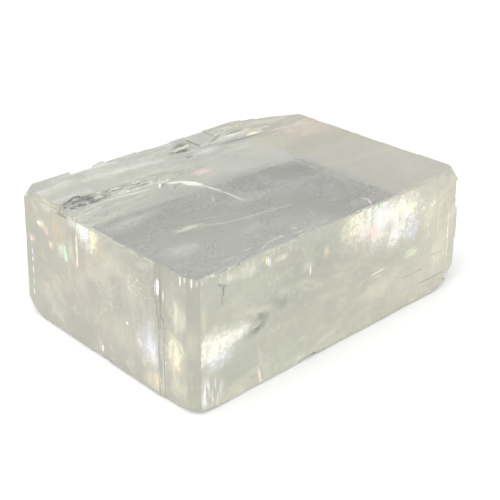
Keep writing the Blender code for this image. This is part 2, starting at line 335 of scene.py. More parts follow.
    def finish(self, roughness, bump_height, bump_strength=0.25, bump_distance=0.05 * MM):
        """Clear where nothing covers, and matt in the bloom's colour where something does."""
        net = self.net
        clear = net.math("SUBTRACT", 1.0, self.cover)
        coloured = net.math("SUBTRACT", 1.0, net.math("MULTIPLY", clear, clear))
        net.put(net.shader.inputs["Transmission Weight"], clear)
        net.put(net.shader.inputs["Base Color"], net.mix(coloured, (1.0, 1.0, 1.0), self.colour))
        rough = net.math("ADD", roughness, net.math("MULTIPLY", self.cover, 0.25))
        net.put(net.shader.inputs["Roughness"], rough)
        net.put(net.shader.inputs["Normal"], net.bump(bump_height, bump_strength, bump_distance))
        net.shader.inputs["IOR"].default_value = CALCITE_IOR
        absorb = net.nodes.new("ShaderNodeVolumeAbsorption")
        absorb.inputs["Color"].default_value = DEPTH_TINT
        absorb.inputs["Density"].default_value = DEPTH_TINT_DENSITY
        net.links.new(absorb.outputs[0], net.output.inputs["Volume"])
        return net.material


# Shades of the haze, from grey-green to straw.
MOSS = (0.54, 0.56, 0.42)
SAND = (0.62, 0.61, 0.47)
DUN = (0.64, 0.59, 0.48)
STRAW = (0.74, 0.72, 0.54)
PALE_GREY = (0.58, 0.59, 0.53)
TAN = (0.60, 0.48, 0.34)
# Gleams.
SILK = (0.72, 0.72, 0.62)
WHITE = (0.95, 0.95, 0.93)
GLEAM = (0.97, 0.96, 0.84)
ICE = (0.80, 0.85, 0.98)
CREAM = (0.95, 0.92, 0.68)
LEMON = (0.95, 0.94, 0.58)
ROSE = (0.95, 0.72, 0.72)
PEACH = (0.94, 0.76, 0.60)
MINT = (0.64, 0.92, 0.62)
VIOLET = (0.72, 0.54, 0.66)
RAINBOW = (GLEAM, LEMON, ROSE, GLEAM, ICE, MINT)
PALE_BLUES = ((0.84, 0.89, 0.94), (0.89, 0.94, 0.98), (0.94, 0.97, 0.98), (0.87, 0.92, 0.97))
TOP_GREYS = ((0.52, 0.57, 0.59), (0.60, 0.64, 0.65), (0.70, 0.73, 0.72), (0.60, 0.63, 0.60))
# Shadows.
ASH = (0.34, 0.35, 0.33)
SLATE = (0.21, 0.22, 0.21)
COAL = (0.11, 0.12, 0.12)
INK = (0.03, 0.03, 0.03)


def face_relief(net, place, stretch):
    """Height of a cleavage face: faint growth lines along its own axes and a fine rub."""
    lines = net.noise(place, stretch, 5.0, 0.65)
    rub = net.noise(place, (2.2, 2.2, 2.2), 3.0)
    return net.math("ADD", lines, net.math("MULTIPLY", rub, 0.3))


def add_painted_wall_shade(bloom):
    """The base shows through the top up to its rim; beyond it the paler insides of the far walls, seen
    through the top, are painted on as olive shade.
    """
    net = bloom.net
    past_back = bloom.beyond((0.219, 0.976, 0.0), 37.6, 3.5)
    past_end = bloom.beyond((1.000, 0.006, 0.0), 53.5, 3.5)
    bloom.add(net.math("MULTIPLY", past_back, BACK_WALL_SHADE), (0.385, 0.39, 0.31))
    bloom.add(net.math("MULTIPLY", past_end, END_WALL_SHADE), (0.385, 0.37, 0.29))
    # where back and end meet, the painted shade is laid on a third time, deepest there
    both = net.math("MULTIPLY", past_back, past_end)
    bloom.add(net.math("MULTIPLY", both, CORNER_WALL_SHADE), (0.35, 0.33, 0.265))
    bloom.clouds((0.05, 0.12, 0.0), 0.46, 0.70, 0.14, (0.60, 0.56, 0.45), past_end)
    bloom.clouds((0.04, 0.10, 0.0), 0.50, 0.72, 0.20, (0.38, 0.39, 0.32), past_end)


def add_top_slope(bloom):
    """The slope at the left end of the top, with straw-coloured streaks."""
    slope = bloom.zone(7.3, 33.7, 16.0, 11.0)
    bloom.add(bloom.net.math("MULTIPLY", slope, 0.08), (0.66, 0.66, 0.48))
    bloom.clouds((0.06, 0.30, 0.0), 0.46, 0.68, 0.24, (0.76, 0.76, 0.55), slope)
    bloom.clouds((0.10, 0.60, 0.0), 0.54, 0.70, 0.20, GLEAM, slope)


def add_raised_back(bloom):
    """The raised back part of the top, with silky streaks along it. Returns its mask."""
    raised = bloom.beyond((0.042, 0.999, 0.0), 41.8, 1.5)
    bloom.clouds((0.06, 0.22, 0.0), 0.46, 0.68, 0.24, (0.76, 0.77, 0.64), raised)
    bloom.clouds((0.12, 0.50, 0.0), 0.54, 0.70, 0.30, WHITE, raised)
    bloom.clouds((0.10, 0.35, 0.0), 0.58, 0.72, 0.24, ASH, raised)
    # the cream and peach spots near u 58 are a painted glint; the broad olive spots at u 54 and u 63 and the
    # brownish one at the far corner darken that corner as painted shade
    bloom.spots(
        (25.8, 47.9, 8.0, 2.0, 0.34, WHITE, -8.0),
        (18.1, 47.7, 8.0, 1.6, 0.35, GLEAM, -6.0),
        (6.2, 49.6, 5.0, 2.2, 0.35, (0.84, 0.86, 0.74)),
        (33.5, 36.8, 2.8, 1.8, 0.60, (0.86, 0.60, 0.48)),
        (39.2, 49.7, 2.8, 1.9, 0.85, INK, 35.0),
        (36.5, 48.9, 2.6, 1.0, 0.70, INK, 15.0),
        (37.3, 45.0, 1.6, 1.0, 0.60, COAL),
        (57.9, 45.8, 2.8, 1.3, 0.75, CREAM),
        (57.4, 48.1, 1.6, 1.1, 0.60, PEACH),
        (53.8, 38.2, 9.0, 5.0, 0.52, (0.47, 0.47, 0.35)),
        (70.3, 40.3, 9.0, 5.5, 0.60, (0.54, 0.44, 0.37)),
        (50.8, 48.1, 7.0, 1.6, 0.35, (0.78, 0.79, 0.74)),
        (42.7, 45.5, 4.0, 2.0, 0.25, WHITE),
        (62.8, 26.2, 9.0, 5.0, 0.16, (0.56, 0.55, 0.44)),
    )
    # a smoky wedge near the back edge, then painted shadow along the ledges there, with a white painted
    # highlight on the rim of one
    bloom.marks(
        (38.8, 48.5, 0.9, 0.9, 0.55, INK, 30.0),
        (37.4, 48.9, 1.0, 0.5, 0.55, INK, 20.0),
        (37.3, 45.0, 0.7, 0.5, 0.50, COAL),
    )
    bloom.streaks(
        (44.3, 46.6, 51.3, 50.3, 1.1, 0.55, COAL),
        (44.9, 45.9, 61.1, 44.5, 1.2, 0.62, COAL),
        (50.7, 49.1, 58.3, 49.0, 1.0, 0.55, COAL),
        (49.6, 48.4, 57.0, 47.6, 0.7, 0.50, WHITE),
    )
    return raised


def add_step_band(bloom):
    """Along the foot of the step: painted shadow, darkest and crumbly at its left end, a grey band whose
    white rim is a painted highlight, and the white curved crack.
    """
    # the coal and ink streaks are painted shadow along the step's foot; the thin gleaming one beside them is
    # a painted highlight on its rim; the wider white ones are the curved crack
    bloom.streaks(
        (1.3, 41.3, 9.8, 41.3, 1.8, 0.50, COAL),
        (2.8, 41.8, 8.3, 41.3, 1.0, 0.55, INK),
        (8.9, 41.4, 24.5, 38.6, 1.6, 0.55, COAL),
        (8.6, 39.0, 21.9, 36.8, 0.4, 0.50, GLEAM),
        (20.8, 40.7, 33.3, 39.3, 0.45, 0.60, COAL),
        (21.5, 35.7, 25.2, 40.2, 0.7, 0.65, GLEAM),
        (23.9, 37.0, 27.8, 35.4, 1.3, 0.60, GLEAM),
        (26.7, 36.1, 29.7, 30.8, 2.5, 0.62, GLEAM),
        (27.8, 34.7, 26.8, 32.9, 0.5, 0.50, ROSE),
        (28.9, 31.5, 30.5, 25.8, 0.42, 0.70, WHITE),
        (30.2, 26.0, 30.4, 19.0, 0.26, 0.50, WHITE),
        (22.6, 36.0, 25.1, 38.8, 0.6, 0.60, COAL),
    )
    # white points over the crumbly left end: painted sparkle
    crumbs_and_sparkle = bloom.zone(5.4, 41.4, 9.0, 3.5)
    bloom.specks((0.9, 0.9, 0.0), 0.16, 0.85, crumbs_and_sparkle, WHITE)


def add_top_front(bloom):
    """Paler clouds inside the front part of the top, and the rub along its front edge."""
    bloom.spots(
        (31.2, 20.2, 5.0, 3.5, 0.14, (0.66, 0.68, 0.62)),
        (7.0, 11.2, 4.5, 3.0, 0.22, (0.74, 0.75, 0.66)),
        (13.7, 17.6, 4.2, 1.3, 0.40, (0.84, 0.86, 0.64), -6.0),
        (38.4, 37.5, 5.0, 3.0, 0.12, (0.62, 0.63, 0.56)),
        (40.7, 16.8, 6.0, 4.0, 0.10, (0.60, 0.62, 0.60)),
        (48.1, 9.7, 6.0, 5.0, 0.10, (0.48, 0.50, 0.50)),
        (10.9, -1.1, 3.4, 1.2, 0.60, GLEAM),
        (14.0, -0.9, 2.4, 0.8, 0.50, WHITE),
        (6.7, -0.3, 2.4, 1.0, 0.35, GLEAM),
    )
    rubbed = bloom.zone(17.1, 0.5, 26.0, 5.0)
    bloom.clouds((0.30, 0.90, 0.0), 0.54, 0.68, 0.40, GLEAM, rubbed)
    bloom.hairs((0.20, 0.28, 0.0), 0.008, 0.22, bloom.zone(33.1, 9.2, 14.0, 9.0), GLEAM)


def top_finish():
    """The top: clear enough to show the base, with streaks and marks laid over that."""
    net = Net("calcite_top")
    bloom = Bloom(net, TOP, TOP_HAZE, (0.06, 0.60, 0.0))
    bloom.tint((0.04, 0.08, 0.0), TOP_GREYS)
    bloom.clouds((0.05, 0.08, 0.0), 0.46, 0.66, 0.10, (0.70, 0.71, 0.60))
    bloom.clouds((0.03, 0.9, 0.0), 0.60, 0.70, 0.10, SILK)
    add_painted_wall_shade(bloom)
    add_top_slope(bloom)
    raised = add_raised_back(bloom)
    add_step_band(bloom)
    add_top_front(bloom)
    bloom.specks((0.45, 0.45, 0.0), 0.05, 0.7, raised, WHITE)
    bloom.specks((0.26, 0.26, 0.0), 0.022, 0.7, 1.0, WHITE)
    return bloom.finish(0.015, face_relief(net, bloom.place, (0.05, 0.8, 0.0)), 0.12)


def add_left_gleams(bloom, rainbow):
    """The gleams under the far top corner of the left face, drawn out downwards."""
    bloom.spots(
        (31.4, 27.0, 4.6, 4.8, 0.65, rainbow),
        (33.7, 26.9, 1.5, 3.8, 0.85, GLEAM),
        (32.0, 27.0, 1.2, 3.4, 0.75, ICE),
        (29.8, 25.9, 2.0, 3.0, 0.75, LEMON),
        (36.4, 27.4, 1.7, 1.7, 0.45, GLEAM),
        (37.3, 20.6, 0.9, 3.2, 0.40, CREAM),
        (41.3, 19.1, 1.2, 1.8, 0.50, GLEAM),
        (39.6, 19.1, 1.0, 2.8, 0.70, MINT, -8.0),
        (47.8, 23.2, 1.6, 1.2, 0.75, LEMON),
        (46.1, 22.0, 1.2, 1.3, 0.65, ROSE),
        (44.6, 19.3, 1.0, 1.2, 0.65, PEACH),
        (51.7, 18.6, 1.2, 1.0, 0.60, ROSE),
        (27.3, 24.4, 1.8, 2.4, 0.30, TAN),
    )
    bloom.marks(
        (35.3, 21.8, 0.45, 4.2, 0.62, CREAM),
        (35.4, 18.7, 0.40, 1.3, 0.75, ROSE),
        (33.7, 27.3, 0.50, 1.8, 0.70, WHITE),
        (48.8, 22.9, 0.8, 0.5, 0.80, GLEAM),
        (52.0, 18.0, 0.5, 0.5, 0.70, ROSE),
        (51.9, 15.2, 0.3, 1.0, 0.75, ICE),
        (51.9, 13.3, 0.3, 0.8, 0.75, LEMON),
        (52.0, 10.8, 0.25, 1.2, 0.70, WHITE),
        (52.1, 7.9, 0.25, 1.0, 0.60, MINT),
        (52.2, 5.4, 0.3, 0.9, 0.65, WHITE),
        (40.9, 20.0, 0.3, 0.8, 0.60, MINT),
        (39.3, 18.5, 0.35, 1.0, 0.70, (0.76, 0.95, 0.66)),
    )


def add_fine_step(bloom):
    """The fine step on the left face, with a bluish veil behind it and cream ones in front of it."""
    bloom.spots(
        (28.5, 3.3, 1.4, 1.7, 0.50, VIOLET),
        (12.3, 10.0, 3.8, 5.0, 0.66, ICE),
        (12.1, 8.1, 2.2, 2.6, 0.50, WHITE),
        (15.6, 9.1, 1.2, 1.0, 0.50, ROSE),
        (11.7, 2.8, 3.0, 2.6, 0.58, (0.98, 0.87, 0.66)),
        (4.7, 19.3, 2.4, 3.6, 0.58, (0.98, 0.96, 0.74)),
        (5.8, 11.9, 2.9, 4.4, 0.78, CREAM),
        (5.6, 8.3, 2.2, 2.4, 0.55, (0.98, 0.88, 0.66)),
        (5.1, 4.6, 2.4, 1.8, 0.45, CREAM),
        (6.3, 22.1, 2.2, 3.0, 0.10, GLEAM),
    )
    bloom.marks(
        (27.9, 2.4, 0.5, 1.0, 0.75, WHITE),
        (19.5, 11.8, 0.5, 0.5, 0.65, (0.80, 0.95, 0.80)),
        (3.9, 27.0, 0.26, 1.3, 0.80, WHITE),
        (2.7, 27.7, 0.20, 1.0, 0.75, WHITE),
    )
    # the fine step itself: a white bar at its top and a shorter one beside it, painted highlights, thin dark
    # lines along it as painted shade, and a pale grey band below
    bloom.streaks(
        (10.7, 27.0, 11.1, 20.1, 0.30, 0.55, SLATE),
        (10.1, 25.5, 10.3, 21.1, 1.25, 0.95, WHITE),
        (9.4, 26.7, 9.9, 12.1, 0.30, 0.50, SLATE),
        (8.8, 23.2, 8.9, 20.6, 0.40, 0.80, WHITE),
        (10.4, 20.4, 10.3, 11.5, 0.28, 0.45, ASH),
        (8.8, 12.2, 9.0, 0.7, 1.00, 0.50, (0.62, 0.64, 0.60)),
        (9.4, 11.9, 9.6, 0.4, 0.28, 0.55, SLATE),
        (8.0, 12.1, 8.3, 1.5, 0.28, 0.45, ASH),
    )


def left_finish():
    """The left face: hazy, with gleams at its far end and the fine step near the front."""
    net = Net("calcite_left")
    bloom = Bloom(net, LEFT, SIDE_HAZE, (0.0, 0.60, 0.16))
    bloom.tint((0.0, 0.07, 0.06), (MOSS, SAND, DUN, STRAW))
    rainbow = net.ramp(net.noise(bloom.place, (0.0, 0.50, 0.14), 3.0, 0.6, 0.8), RAINBOW, 0.36, 0.64)
    bloom.clouds((0.0, 0.11, 0.08), 0.50, 0.74, 0.26, (0.80, 0.72, 0.60))
    bloom.clouds((0.0, 0.55, 0.10), 0.54, 0.72, 0.10, SILK)
    bloom.clouds((0.0, 0.26, 0.22), 0.54, 0.72, 0.24, (0.90, 0.86, 0.70))
    bloom.clouds((0.0, 0.24, 0.20), 0.56, 0.74, 0.16, ASH)
    # pale and brown clouds, from the far end to the front
    bloom.spots(
        (42.0, 23.2, 3.6, 4.8, 0.45, TAN),
        (45.5, 28.1, 2.8, 1.6, 0.40, (0.84, 0.86, 0.66)),
        (38.4, 12.2, 7.0, 5.0, 0.16, (0.64, 0.54, 0.45)),
        (24.2, 23.0, 5.0, 3.0, 0.30, (0.84, 0.81, 0.62)),
        (22.0, 7.8, 7.0, 6.0, 0.24, (0.80, 0.77, 0.63)),
        (16.1, 18.0, 4.5, 5.0, 0.22, (0.84, 0.82, 0.66)),
        (30.1, 8.8, 6.0, 4.0, 0.16, (0.66, 0.58, 0.50)),
    )
    add_left_gleams(bloom, rainbow)
    add_fine_step(bloom)
    bloom.hairs((0.0, 0.40, 0.46), 0.016, 0.55, bloom.zone(15.0, 22.1, 6.5, 5.5), GLEAM)
    bloom.hairs((0.0, 0.22, 0.16), 0.009, 0.35, bloom.zone(29.7, 14.6, 24.0, 13.0), SILK)
    bloom.specks((0.0, 0.50, 0.50), 0.055, 0.7, bloom.zone(10.6, 22.5, 12.0, 8.0), WHITE)
    bloom.specks((0.0, 0.30, 0.30), 0.035, 0.6, 1.0, WHITE)
    return bloom.finish(0.07, face_relief(net, bloom.place, (0.0, 0.75, 0.07)))


def flat_finish():
    """The narrow upright flat on the front corner: greener and a little darker than its neighbours."""
    net = Net("calcite_front_flat")
    bloom = Bloom(net, FLAT, SIDE_HAZE, (0.0, 0.9, 0.10))
    bloom.tint((0.0, 0.12, 0.07), (MOSS, (0.57, 0.58, 0.43), SAND, STRAW))
    bloom.clouds((0.0, 0.50, 0.10), 0.50, 0.70, 0.22, SILK)
    bloom.spots(
        (0.9, 15.2, 2.6, 4.0, 0.22, CREAM),
        (0.9, 6.6, 2.6, 1.8, 0.35, (0.33, 0.35, 0.26)),
        (0.8, 20.4, 2.4, 3.6, 0.24, ASH),
    )
    # short white lines near the top: painted highlights along the corner's edges
    bloom.marks(
        (1.4, 27.4, 0.20, 1.3, 0.75, WHITE),
        (0.5, 27.4, 0.14, 0.7, 0.50, GLEAM),
    )
    bloom.specks((0.0, 0.50, 0.50), 0.06, 0.7, 1.0, WHITE)
    return bloom.finish(0.07, face_relief(net, bloom.place, (0.0, 0.75, 0.07)))


def add_corner_gleam(bloom):
    """Beside the front corner: a white gleam, silky fibres at its foot and dark crumbs at its top."""
    bloom.spots(
        (4.8, 13.3, 5.2, 4.2, 0.85, GLEAM, -12.0),
        (3.6, 13.2, 3.4, 3.0, 0.60, GLEAM),
        (9.0, 13.7, 5.0, 2.4, 0.70, GLEAM, 8.0),
        (11.4, 13.7, 3.0, 1.3, 0.50, WHITE, 14.0),
        (5.8, 9.7, 4.0, 1.7, 0.50, ICE, 4.0),
        (10.7, 10.4, 3.0, 2.0, 0.28, (0.50, 0.55, 0.52)),
        (2.3, 19.8, 1.4, 3.2, 0.26, CREAM),
        (11.2, 1.6, 5.5, 2.6, 0.28, CREAM),
        (8.2, 6.3, 5.0, 1.2, 0.22, ASH),
    )
    bloom.clouds((1.3, 0.0, 0.12), 0.42, 0.60, 0.70, WHITE, bloom.zone(3.5, 4.1, 4.4, 4.6))
    bloom.clouds((1.5, 0.0, 0.20), 0.52, 0.64, 0.45, ROSE, bloom.zone(4.7, 2.2, 3.4, 3.0))
    bloom.streaks(
        (1.7, 17.6, 1.5, 2.4, 0.34, 0.62, GLEAM),
        (15.7, 4.7, 16.6, -0.2, 0.9, 0.50, PEACH),
        (16.1, 3.6, 16.7, 0.2, 0.4, 0.60, ROSE),
        (16.3, 7.7, 16.6, 4.9, 1.2, 0.32, VIOLET),
        (14.2, 13.3, 16.3, 13.3, 0.5, 0.40, WHITE),
    )
    bloom.marks(
        (6.4, 25.5, 0.55, 0.22, 0.80, COAL),
        (7.6, 24.9, 0.50, 0.30, 0.75, COAL),
        (7.2, 24.2, 0.16, 0.7, 0.75, COAL),
        (7.1, 23.2, 0.26, 0.3, 0.70, COAL),
        (6.7, 22.3, 0.16, 0.6, 0.65, COAL),
        (6.9, 21.6, 0.35, 0.25, 0.75, COAL),
        # three thin bars, lemon, white and ice: a painted rainbow glint
        (17.8, 26.4, 0.20, 1.2, 0.80, LEMON),
        (18.3, 26.1, 0.24, 1.3, 0.85, WHITE),
        (18.8, 25.7, 0.20, 1.2, 0.75, ICE),
        (29.6, 20.0, 0.26, 1.3, 0.70, WHITE),
    )


def add_near_half(bloom):
    """Smoky smudges in the middle of the near half, and gleams hanging from the top edge."""
    bloom.spots(
        (17.0, 14.9, 1.3, 2.2, 0.95, SLATE, 75.0),
        (15.5, 12.6, 3.0, 1.0, 0.90, SLATE, 22.0),
        (21.2, 16.7, 2.8, 1.4, 0.60, SLATE, -20.0),
        (22.5, 15.3, 1.4, 1.4, 0.50, SLATE),
    )
    # gleams hanging from the top edge
    bloom.spots(
        (21.6, 25.5, 2.2, 0.8, 0.50, CREAM),
        (13.4, 26.2, 2.6, 2.0, 0.42, GLEAM),
        (8.8, 26.3, 3.0, 1.4, 0.35, GLEAM),
        (28.9, 21.2, 1.6, 1.6, 0.30, GLEAM),
        (34.1, 22.6, 0.9, 1.5, 0.55, PEACH),
        (27.2, 1.0, 2.0, 1.6, 0.30, GLEAM),
        (24.8, 7.2, 7.0, 3.5, 0.12, (0.34, 0.38, 0.30)),
    )


def add_far_gleams(bloom, rainbow):
    """The rainbow gleams under the far top edge, and paler clouds round them."""
    bloom.spots(
        (51.5, 23.3, 12.5, 6.5, 0.75, rainbow),
        (43.5, 25.7, 4.6, 3.8, 0.80, (0.98, 0.96, 0.76)),
        (50.7, 25.4, 5.0, 3.8, 0.75, WHITE),
        (47.6, 22.1, 4.2, 2.2, 0.55, ROSE),
        (57.1, 24.2, 5.2, 3.6, 0.72, GLEAM),
        (60.0, 24.2, 2.4, 1.3, 0.55, (0.86, 0.96, 0.62)),
        (59.8, 18.7, 2.8, 3.0, 0.65, ICE),
        (54.9, 19.4, 3.4, 3.2, 0.60, WHITE),
        (52.5, 21.6, 1.6, 2.0, 0.45, ASH),
        (39.7, 25.2, 2.4, 3.4, 0.35, CREAM),
        (59.9, 12.9, 2.8, 1.3, 0.50, (0.78, 0.94, 0.64)),
        (54.7, 13.4, 4.0, 1.5, 0.30, (0.32, 0.31, 0.25)),
        (66.0, 19.7, 3.6, 3.6, 0.30, (0.92, 0.88, 0.66)),
        (59.7, 5.7, 9.0, 4.5, 0.22, (0.80, 0.66, 0.60)),
        (50.6, 7.3, 6.0, 3.0, 0.18, (0.84, 0.82, 0.66)),
        (70.6, 9.6, 3.6, 7.0, 0.30, (0.90, 0.84, 0.66)),
    )
    bloom.streaks(
        (46.6, 12.0, 52.8, 12.3, 0.6, 0.60, PEACH),
        (47.3, 11.2, 51.6, 11.2, 0.4, 0.35, ROSE),
        (57.5, 26.8, 57.7, 15.3, 0.25, 0.40, GLEAM),
        (73.0, 21.0, 73.1, 5.7, 0.5, 0.45, GLEAM),
        (69.4, 23.1, 69.3, 12.5, 0.3, 0.40, ROSE),
    )
    crushed = bloom.zone(64.0, 22.7, 14.0, 4.0)
    bloom.clouds((0.50, 0.0, 0.50), 0.54, 0.68, 0.50, GLEAM, crushed)


def front_finish():
    """The front face: hazy, with a white gleam by the corner and rainbow ones at its far end."""
    net = Net("calcite_front")
    bloom = Bloom(net, FRONT, SIDE_HAZE, (0.50, 0.0, 0.24))
    bloom.tint((0.05, 0.0, 0.07), (MOSS, (0.58, 0.60, 0.45), SAND, STRAW))
    end_part = net.smooth(net.vector("DOT_PRODUCT", bloom.loose, (1.0, 0.0, 0.0)), 34.0, 56.0)
    end_strip = net.smooth(net.vector("DOT_PRODUCT", bloom.loose, (1.0, 0.0, 0.0)), 60.0, 69.0)
    rainbow = net.ramp(net.noise(bloom.place, (0.35, 0.0, 0.22), 3.0, 0.6, 0.8), RAINBOW, 0.36, 0.64)
    bloom.add(net.math("MULTIPLY", end_part, 0.22), (0.70, 0.64, 0.53))
    bloom.clouds((0.07, 0.0, 0.12), 0.50, 0.74, 0.22, (0.56, 0.62, 0.48))
    bloom.clouds((0.09, 0.0, 0.16), 0.52, 0.74, 0.22, (0.84, 0.82, 0.66))
    bloom.clouds((0.30, 0.0, 0.34), 0.54, 0.72, 0.16, (0.80, 0.78, 0.66))
    bloom.clouds((0.26, 0.0, 0.30), 0.56, 0.74, 0.14, ASH)
    bloom.clouds((0.18, 0.0, 0.22), 0.52, 0.72, 0.26, (0.86, 0.76, 0.68), end_part)
    # the striped end
    bloom.clouds((0.9, 0.0, 0.08), 0.52, 0.72, 0.26, (0.92, 0.88, 0.72), end_strip)
    bloom.clouds((0.6, 0.0, 0.12), 0.58, 0.74, 0.22, PEACH, end_strip)
    add_corner_gleam(bloom)
    add_near_half(bloom)
    add_far_gleams(bloom, rainbow)
    rubbed = net.smooth(net.vector("DOT_PRODUCT", bloom.loose, (0.0, 0.0, 1.0)), 24.5, 28.0)
    bloom.clouds((0.9, 0.0, 0.25), 0.52, 0.68, 0.50, GLEAM, rubbed)
    bloom.hairs((0.20, 0.0, 0.26), 0.010, 0.40, end_part, SILK)
    bloom.hairs((0.30, 0.0, 0.34), 0.009, 0.35, bloom.zone(22.7, 21.3, 22.0, 7.0), GLEAM)
    bloom.specks((0.5, 0.0, 0.5), 0.06, 0.8, bloom.zone(4.5, 24.6, 9.0, 6.0), WHITE)
    bloom.specks((0.28, 0.0, 0.28), 0.032, 0.7, 1.0, WHITE)
    return bloom.finish(0.07, face_relief(net, bloom.place, (0.07, 0.0, 0.6)))


def hidden_finish(name, scale, cloud, gleam):
    """The two sides that the photograph doesn't show: clearer, with silky streaks and rainbow places."""
    net = Net(name)
    bloom = Bloom(net, BACK, HIDDEN_HAZE)
    bloom.tint((0.06, 0.06, 0.07), (SAND, STRAW, SILK, CREAM))
    rainbow = net.ramp(net.noise(bloom.place, (0.28, 0.28, 0.28), 3.0, 0.6, 0.8), RAINBOW, 0.36, 0.64)
    bloom.clouds((0.09, 0.09, 0.13), 0.50, 0.74, 0.40, cloud)
    bloom.clouds(scale, 0.54, 0.70, 0.34, SILK)
    bloom.clouds((0.10, 0.10, 0.12), 0.58, 0.74, 0.60, rainbow, detail=4.0)
    bloom.clouds((0.13, 0.11, 0.10), 0.62, 0.76, 0.45, gleam)
    patches = net.smooth(net.noise(bloom.place, (0.06, 0.06, 0.06)), 0.42, 0.60)
    bloom.hairs((0.17, 0.17, 0.2), 0.010, 0.40, patches, SILK)
    bloom.specks((0.3, 0.3, 0.3), 0.05, 0.7, patches, WHITE)
    return bloom.finish(0.06, face_relief(net, bloom.place, scale))


def base_finish():
    """The base, seen through the block as a bluish, clouded ground."""
    net = Net("calcite_base")
    bloom = Bloom(net, BASE, BASE_HAZE)
    bloom.tint((0.05, 0.07, 0.0), PALE_BLUES)
    bloom.clouds((0.07, 0.10, 0.0), 0.46, 0.72, 0.20, (0.90, 0.94, 0.94))
    bloom.clouds((0.12, 0.05, 0.0), 0.56, 0.76, 0.20, (0.56, 0.60, 0.64))
    return bloom.finish(0.2, face_relief(net, bloom.place, (0.3, 0.3, 0.0)))


def broken_finish():
    """Chips, ledges and worn edges: frosted, with a fine sugary grain."""
    net = Net("calcite_broken")
    bloom = Bloom(net, BROKEN, BROKEN_HAZE)
    bloom.tint((0.30, 0.30, 0.30), (SAND, STRAW, SILK, GLEAM))
    bloom.clouds((0.9, 0.9, 0.9), 0.52, 0.68, 0.45, GLEAM)
    bloom.clouds((1.1, 1.1, 1.1), 0.60, 0.74, 0.40, ASH)
    grain = net.noise(bloom.place, (2.6, 2.6, 2.6), 4.0)
    return bloom.finish(0.25, grain, 0.6, 0.12 * MM)


def riser_finish():
    """The step across the top: painted shade at its left end, dark and crumbly, then a grey band with bright
    flecks of painted sparkle.
    """
    net = Net("calcite_riser")
    bloom = Bloom(net, RISER, RISER_HAZE)
    shades = net.noise(bloom.place, (0.7, 0.9, 1.2), 5.0, 0.7)
    along = net.smooth(net.vector("DOT_PRODUCT", bloom.place, (1.0, 0.0, 0.0)), 8.0, 14.0)
    dark = net.ramp(shades, (INK, COAL, ASH, GLEAM), 0.36, 0.68)
    grey = net.ramp(shades, (ASH, (0.50, 0.51, 0.46), SILK, WHITE), 0.34, 0.68)
    bloom.colour = net.mix(along, dark, grey)
    bloom.specks((1.0, 1.0, 1.0), 0.15, 0.85, 1.0, WHITE)
    return bloom.finish(0.3, shades, 0.6, 0.12 * MM)


def face_finish(face):
    """Which finish a face of the block gets, from the way it faces and where it is."""
    normal = face.normal
    place = crystal_place(face.calc_center_median())
    if normal.z < -LEVEL_MATCH:
        return BASE
    if normal.z > LEVEL_MATCH:
        return TOP
    if normal.dot(LEFT_NORMAL) > SIDE_MATCH:
        return LEFT
    if normal.dot(LEFT_NORMAL) < -SIDE_MATCH:
        return RIGHT_END
    if normal.dot(FRONT_NORMAL) > SIDE_MATCH:
        return FRONT
    if normal.dot(FRONT_NORMAL) < -SIDE_MATCH:
        return BACK
    front_flat = place.x < FLAT_U and place.y < FLAT_V
    if front_flat and abs(normal.z) < 0.5:
        return FLAT
    if place.z > UPRIGHT_EDGE - 0.1 and STEP_FROM < place.y < STEP_TO:
        return RISER
    return BROKEN


def dressed_block(node):
    """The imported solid, with its facets merged and a soft rub along every edge."""
    builder = bmesh.new()
    builder.from_mesh(node.data)
    bmesh.ops.remove_doubles(builder, verts=builder.verts, dist=MERGE_GAP)
    bmesh.ops.dissolve_limit(builder, angle_limit=MERGE_ANGLE, verts=builder.verts, edges=builder.edges)
    for face in builder.faces:
        face.smooth = False
        face.normal_update()
        face.material_index = face_finish(face)
    mesh = bpy.data.meshes.new("calcite_block")
    builder.to_mesh(mesh)
    builder.free()
    block = bpy.data.objects.new("calcite_block", mesh)
    bpy.context.scene.collection.objects.link(block)
    finishes = {
        TOP: top_finish(),
        LEFT: left_finish(),
        FRONT: front_finish(),
        RIGHT_END: hidden_finish("calcite_right_end", (0.0, 0.6, 0.06), (0.70, 0.69, 0.56), ROSE),
        BACK: hidden_finish("calcite_back", (0.06, 0.0, 0.6), (0.64, 0.62, 0.50), MINT),
        BASE: base_finish(),
        BROKEN: broken_finish(),
        RISER: riser_finish(),
        FLAT: flat_finish(),
    }
    for slot in sorted(finishes):
        mesh.materials.append(finishes[slot])
    soften = block.modifiers.new("soft_edges", "BEVEL")
    soften.width = EDGE_WEAR
    soften.segments = 2
    soften.limit_method = "ANGLE"
    soften.angle_limit = WORN_ANGLE
    soften.material = BROKEN
    return block


def crack_finish(name, colours, alpha, roughness=0.4):
    """A crack or a fracture sheet: patchy, in one or several colours."""
    net = Net(name)
    place = net.place()
    patchy = net.noise(place, (0.5, 0.5, 0.5), 4.0, 0.6, 0.8)
    net.put(net.shader.inputs["Base Color"], net.ramp(net.noise(place, (0.33, 0.33, 0.33)), colours))
    net.put(net.shader.inputs["Alpha"], net.smooth(patchy, 0.24, 0.44, alpha))
    net.shader.inputs["Roughness"].default_value = roughness
    return net.material


def on_face(face, a, b, depth):
    """A place just inside a face of the block, from the two crystal coordinates that run along it."""
    return along_face(face, a, b, UPRIGHT_EDGE - depth if face == TOP else depth)


